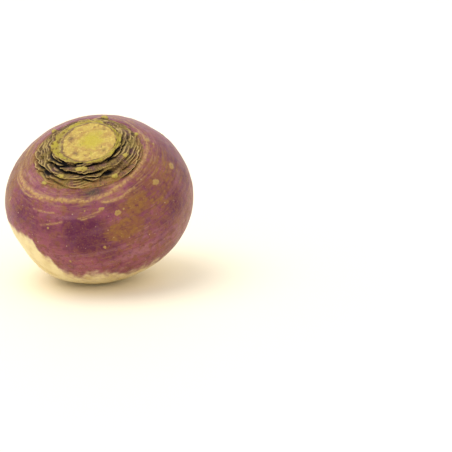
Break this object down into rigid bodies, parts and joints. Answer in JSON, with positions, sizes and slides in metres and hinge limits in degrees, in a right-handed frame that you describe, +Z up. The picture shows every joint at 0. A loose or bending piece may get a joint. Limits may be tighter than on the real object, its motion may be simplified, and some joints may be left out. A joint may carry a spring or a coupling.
{
  "type": "rutabaga",
  "caption": "Whole rutabaga root, trimmed at crown and tail, with old leaf-scar ledges round the neck, resting on a small flat spot.",
  "frame": {"origin": "on the surface it rests on, below the middle of its bounding box", "axes": "+Z up from the surface it rests on; the crown leans 28.5 degrees from +Z towards -Y and a little towards -X"},
  "size_m": [0.1174, 0.1154, 0.1013],
  "materials": {
    "root_skin": "thin waxy skin, purple over cream, with brown corky netting and olive leaf scars; satin"
  },
  "bodies": {
    "root": {"rutabaga_root": "root_skin"}
  },
  "joints": []
}
